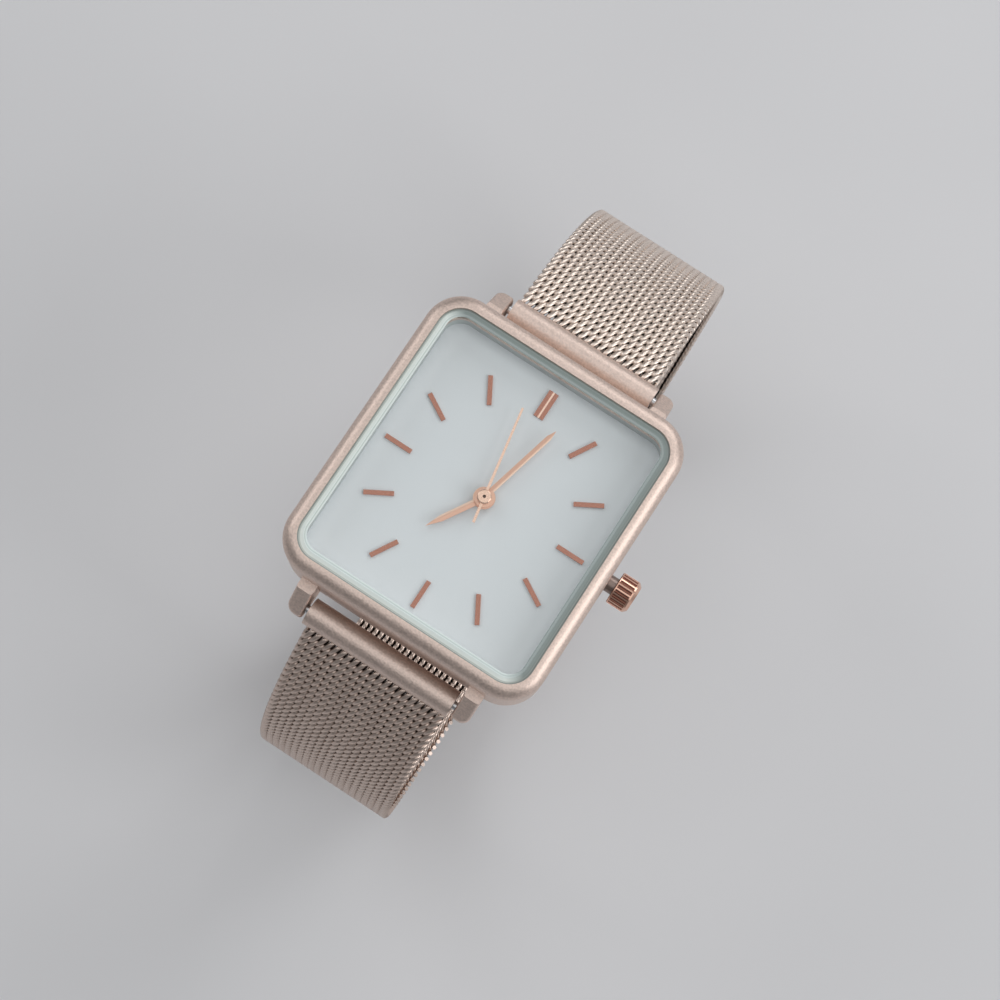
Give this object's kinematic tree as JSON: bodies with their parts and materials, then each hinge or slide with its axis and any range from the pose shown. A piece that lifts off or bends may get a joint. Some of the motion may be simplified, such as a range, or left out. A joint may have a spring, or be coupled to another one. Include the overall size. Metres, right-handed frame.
{
  "type": "square wristwatch on a wire-mesh strap",
  "caption": "Squarish quartz wristwatch with rounded corners, flat bevelled glass, baton marks, side crown and a wire-mesh strap closed by a sliding fold-over clasp.",
  "frame": {"origin": "centre of the case back's outer face", "axes": "+Z out through the dial and glass, +Y towards 12 o'clock, +X towards the crown at 3 o'clock"},
  "size_m": [0.029, 0.0631, 0.0528],
  "materials": {
    "case_metal": "fine bead-blasted pale rose coating",
    "mesh_metal": "round drawn wire, satin rose coating",
    "clasp_metal": "satin rose coating",
    "rose_polish": "polished copper-rose",
    "pale_dial": "smooth pale silver",
    "ring_enamel": "matt grey",
    "crystal_glass": "clear mineral glass",
    "seal_rubber": "matt black",
    "steel_screw": "satin",
    "movement_plate": "nickel-plated, fine ground",
    "white_plastic": "moulded",
    "wheel_brass": "cut, polished teeth",
    "movement_steel": "ground",
    "magnet": "sintered, moulded pinion",
    "stator_iron": "annealed",
    "coil_copper": "fine enamelled wire",
    "battery_steel": "bright",
    "can_metal": "drawn",
    "board_green": "laminate",
    "chip_black": "resin drop"
  },
  "bodies": {
    "case": {"case_middle": "case_metal", "crystal": "crystal_glass", "crystal_gasket": "seal_rubber", "dial": "pale_dial", "hour_markers": "rose_polish", "marker_12": "rose_polish", "dial_ring": "ring_enamel", "movement_holder": "white_plastic", "case_back": "case_metal", "case_back_gasket": "seal_rubber", "case_back_screws": "steel_screw", "crown_tube": "case_metal", "main_plate": "movement_plate", "train_bridge": "movement_plate", "movement_screws": "steel_screw", "battery": "battery_steel", "battery_clamp": "movement_steel", "circuit_board": "board_green", "quartz_can": "can_metal", "control_chip": "chip_black", "stator": "stator_iron", "coil_winding": "coil_copper", "spring_bar_12": "steel_screw", "spring_bar_6": "steel_screw", "spring_bar_spring_12": "steel_screw", "spring_bar_spring_6": "steel_screw"},
    "minutes": {"centre_wheel": "wheel_brass", "minute_hand": "rose_polish"},
    "seconds": {"fourth_wheel": "wheel_brass", "seconds_hand": "rose_polish"},
    "hours": {"hour_wheel": "wheel_brass", "hour_hand": "rose_polish"},
    "third": {"third_wheel": "wheel_brass"},
    "intermediate": {"intermediate_wheel": "wheel_brass"},
    "rotor": {"rotor": "magnet"},
    "minute_work": {"minute_wheel": "wheel_brass"},
    "setting": {"setting_wheel": "wheel_brass"},
    "crown_seal": {"crown_gasket": "seal_rubber"},
    "crown": {"crown": "rose_polish", "winding_stem": "movement_steel"},
    "clutch": {"clutch_wheel": "movement_steel"},
    "setting_lever": {"setting_lever": "movement_steel"},
    "yoke": {"yoke": "movement_steel"},
    "tip_12_left": {"spring_bar_tip_12_left": "steel_screw"},
    "tip_12_right": {"spring_bar_tip_12_right": "steel_screw"},
    "tip_6_left": {"spring_bar_tip_6_left": "steel_screw"},
    "tip_6_right": {"spring_bar_tip_6_right": "steel_screw"},
    "strap_12": {"strap_tube_12": "case_metal", "mesh_12": "mesh_metal", "clasp_end_piece": "clasp_metal", "clasp_cover_pin": "steel_screw"},
    "strap_6": {"strap_tube_6": "case_metal", "mesh_6": "mesh_metal", "mesh_tip_cap": "clasp_metal"},
    "clasp_frame": {"clasp_frame": "clasp_metal", "clasp_flap_pin": "steel_screw"},
    "clasp_flap": {"clasp_lock_flap": "clasp_metal"},
    "clasp_cover": {"clasp_cover": "clasp_metal"}
  },
  "joints": [
    {"name": "minute_hand_turn", "type": "hinge", "parent": "case", "child": "minutes", "pos_m": [0, 0, 0.005], "axis": [0, 0, 1], "continuous": true},
    {"name": "seconds_hand_turn", "type": "hinge", "parent": "case", "child": "seconds", "pos_m": [0, 0, 0.005], "axis": [0, 0, 1], "continuous": true},
    {"name": "hour_hand_turn", "type": "hinge", "parent": "case", "child": "hours", "pos_m": [0, 0, 0.005], "axis": [0, 0, 1], "continuous": true},
    {"name": "third_wheel_turn", "type": "hinge", "parent": "case", "child": "third", "pos_m": [-0.00053, 0.00301, 0.0025], "axis": [0, 0, 1], "continuous": true},
    {"name": "intermediate_wheel_turn", "type": "hinge", "parent": "case", "child": "intermediate", "pos_m": [0.00293, -0.00107, 0.0025], "axis": [0, 0, 1], "continuous": true},
    {"name": "rotor_turn", "type": "hinge", "parent": "case", "child": "rotor", "pos_m": [0.00403, -0.00298, 0.0025], "axis": [0, 0, 1], "continuous": true},
    {"name": "minute_wheel_turn", "type": "hinge", "parent": "case", "child": "minute_work", "pos_m": [0.00177, -0.00124, 0.0041], "axis": [0, 0, 1], "continuous": true},
    {"name": "setting_wheel_turn", "type": "hinge", "parent": "case", "child": "setting", "pos_m": [0.00375, 0, 0.0041], "axis": [0, 0, 1], "continuous": true},
    {"name": "crown_pull", "type": "slide", "parent": "case", "child": "crown_seal", "axis": [1, 0, 0], "range_m": [0, 0.0009]},
    {"name": "crown_turn", "type": "hinge", "parent": "crown_seal", "child": "crown", "pos_m": [0.0145, 0, 0.0035], "axis": [1, 0, 0], "continuous": true},
    {"name": "clutch_slide", "type": "slide", "parent": "crown", "child": "clutch", "axis": [1, 0, 0], "range_m": [-0.00135, 0]},
    {"name": "setting_lever_swing", "type": "hinge", "parent": "case", "child": "setting_lever", "pos_m": [0.0071, 0.0022, 0.0041], "axis": [0, 0, 1], "range_deg": [0, 24.16]},
    {"name": "yoke_swing", "type": "hinge", "parent": "case", "child": "yoke", "pos_m": [0.00565, -0.0024, 0.0041], "axis": [0, 0, 1], "range_deg": [0, 10.82]},
    {"name": "bar_tip_12_left_press", "type": "slide", "parent": "case", "child": "tip_12_left", "axis": [1, 0, 0], "range_m": [0, 0.0009], "stiffness_N_per_m": 200, "springref_m": -0.0005},
    {"name": "bar_tip_12_right_press", "type": "slide", "parent": "case", "child": "tip_12_right", "axis": [-1, 0, 0], "range_m": [0, 0.0009], "stiffness_N_per_m": 200, "springref_m": -0.0005},
    {"name": "bar_tip_6_left_press", "type": "slide", "parent": "case", "child": "tip_6_left", "axis": [1, 0, 0], "range_m": [0, 0.0009], "stiffness_N_per_m": 200, "springref_m": -0.0005},
    {"name": "bar_tip_6_right_press", "type": "slide", "parent": "case", "child": "tip_6_right", "axis": [-1, 0, 0], "range_m": [0, 0.0009], "stiffness_N_per_m": 200, "springref_m": -0.0005},
    {"name": "strap_12_swing", "type": "hinge", "parent": "case", "child": "strap_12", "pos_m": [0, 0.01635, 0.002], "axis": [1, 0, 0], "range_deg": [0, 50]},
    {"name": "strap_6_swing", "type": "hinge", "parent": "case", "child": "strap_6", "pos_m": [0, -0.01635, 0.002], "axis": [1, 0, 0], "range_deg": [-20, 0]},
    {"name": "clasp_slide", "type": "slide", "parent": "strap_6", "child": "clasp_frame", "axis": [0, 1, 0], "range_m": [-0.003, 0]},
    {"name": "clasp_cover_open", "type": "hinge", "parent": "strap_12", "child": "clasp_cover", "pos_m": [0, 0.008, -0.0441], "axis": [1, 0, 0], "range_deg": [0, 120]},
    {"name": "clasp_flap_open", "type": "hinge", "parent": "clasp_frame", "child": "clasp_flap", "pos_m": [0, -0.0072, -0.0421], "axis": [1, 0, 0], "range_deg": [-90, 0]}
  ],
  "couplings": [
    {"joint": "minute_hand_turn", "follows": "seconds_hand_turn", "ratio": 0.016667},
    {"joint": "hour_hand_turn", "follows": "seconds_hand_turn", "ratio": 0.0013889},
    {"joint": "third_wheel_turn", "follows": "seconds_hand_turn", "ratio": -0.13333},
    {"joint": "intermediate_wheel_turn", "follows": "seconds_hand_turn", "ratio": -5},
    {"joint": "rotor_turn", "follows": "seconds_hand_turn", "ratio": 30},
    {"joint": "minute_wheel_turn", "follows": "seconds_hand_turn", "ratio": -0.0055556},
    {"joint": "setting_wheel_turn", "follows": "seconds_hand_turn", "ratio": 0.0125},
    {"joint": "clutch_slide", "follows": "crown_pull", "ratio": -1.5},
    {"joint": "setting_lever_swing", "follows": "crown_pull", "rad_per_m": 468.29},
    {"joint": "yoke_swing", "follows": "crown_pull", "rad_per_m": 209.57},
    {"joint": "strap_6_swing", "follows": "strap_12_swing", "ratio": -0.4},
    {"joint": "clasp_flap_open", "follows": "clasp_cover_open", "ratio": -0.75}
  ]
}
